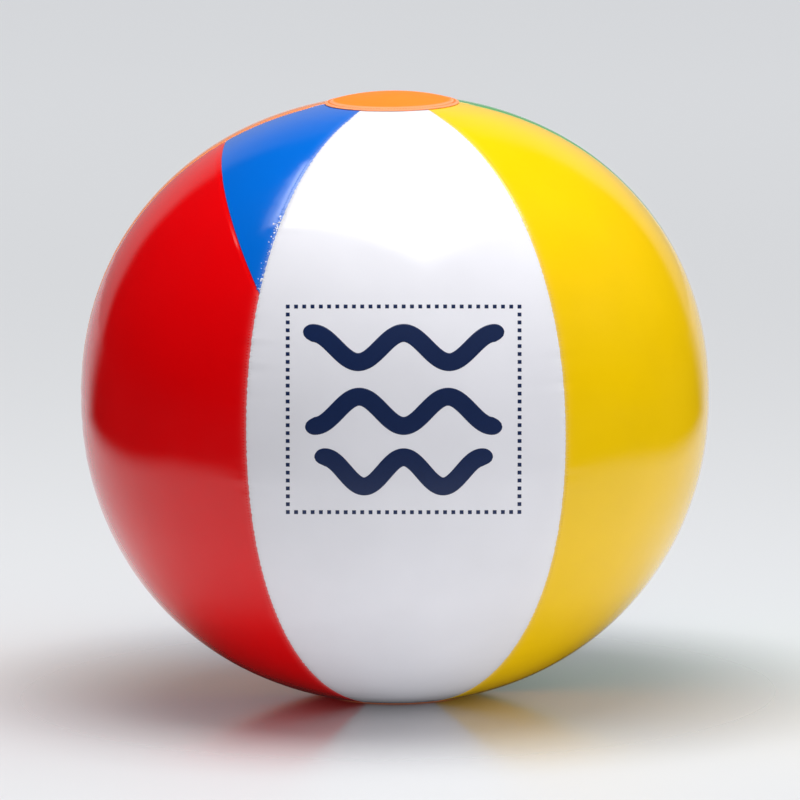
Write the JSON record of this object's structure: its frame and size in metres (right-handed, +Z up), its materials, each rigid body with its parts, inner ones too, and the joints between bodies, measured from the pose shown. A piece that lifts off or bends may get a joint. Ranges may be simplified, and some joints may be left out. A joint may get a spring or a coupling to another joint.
{
  "type": "inflatable beach ball",
  "caption": "Inflated PVC beach ball of welded coloured gores with round pole caps, one gore split by a slanting seam, and a push-in air valve with check flap and strapped plug.",
  "frame": {"origin": "middle of the bottom cap's flat face, which the ball stands on", "axes": "+Z up the pole axis to the top cap; the white gore faces -Y and the gore with the valve faces +Y"},
  "size_m": [0.3, 0.3, 0.287],
  "materials": {
    "white_pvc": "gloss",
    "yellow_pvc": "gloss",
    "green_pvc": "gloss",
    "blue_pvc": "gloss",
    "orange_pvc": "gloss",
    "red_pvc": "gloss",
    "clear_pvc": "gloss",
    "navy_ink": "satin"
  },
  "bodies": {
    "ball": {"white_gore": "white_pvc", "yellow_gore": "yellow_pvc", "green_gore": "green_pvc", "blue_gore": "blue_pvc", "orange_gore": "orange_pvc", "red_gore_lower": "red_pvc", "blue_gore_upper": "blue_pvc", "top_cap": "orange_pvc", "bottom_cap": "orange_pvc", "valve_flange": "clear_pvc", "valve_diaphragm": "clear_pvc"},
    "valve": {"valve_stem": "clear_pvc"},
    "plug": {"valve_plug": "clear_pvc"},
    "flap": {"check_flap": "clear_pvc"}
  },
  "joints": [
    {"name": "valve_pull", "type": "slide", "parent": "ball", "child": "valve", "axis": [0, 0.5846, 0.8113], "range_m": [0, 0.012], "deforming": ["valve_diaphragm"]},
    {"name": "plug_swing", "type": "hinge", "parent": "valve", "child": "plug", "pos_m": [0, 0.08612, 0.26695], "axis": [1, 0, 0], "range_deg": [0, 155]},
    {"name": "flap_swing", "type": "hinge", "parent": "valve", "child": "flap", "pos_m": [0, 0.0808, 0.25255], "axis": [-1, 0, 0], "range_deg": [0, 60], "stiffness_Nm_per_rad": 0.00002, "springref_deg": -28.65}
  ]
}
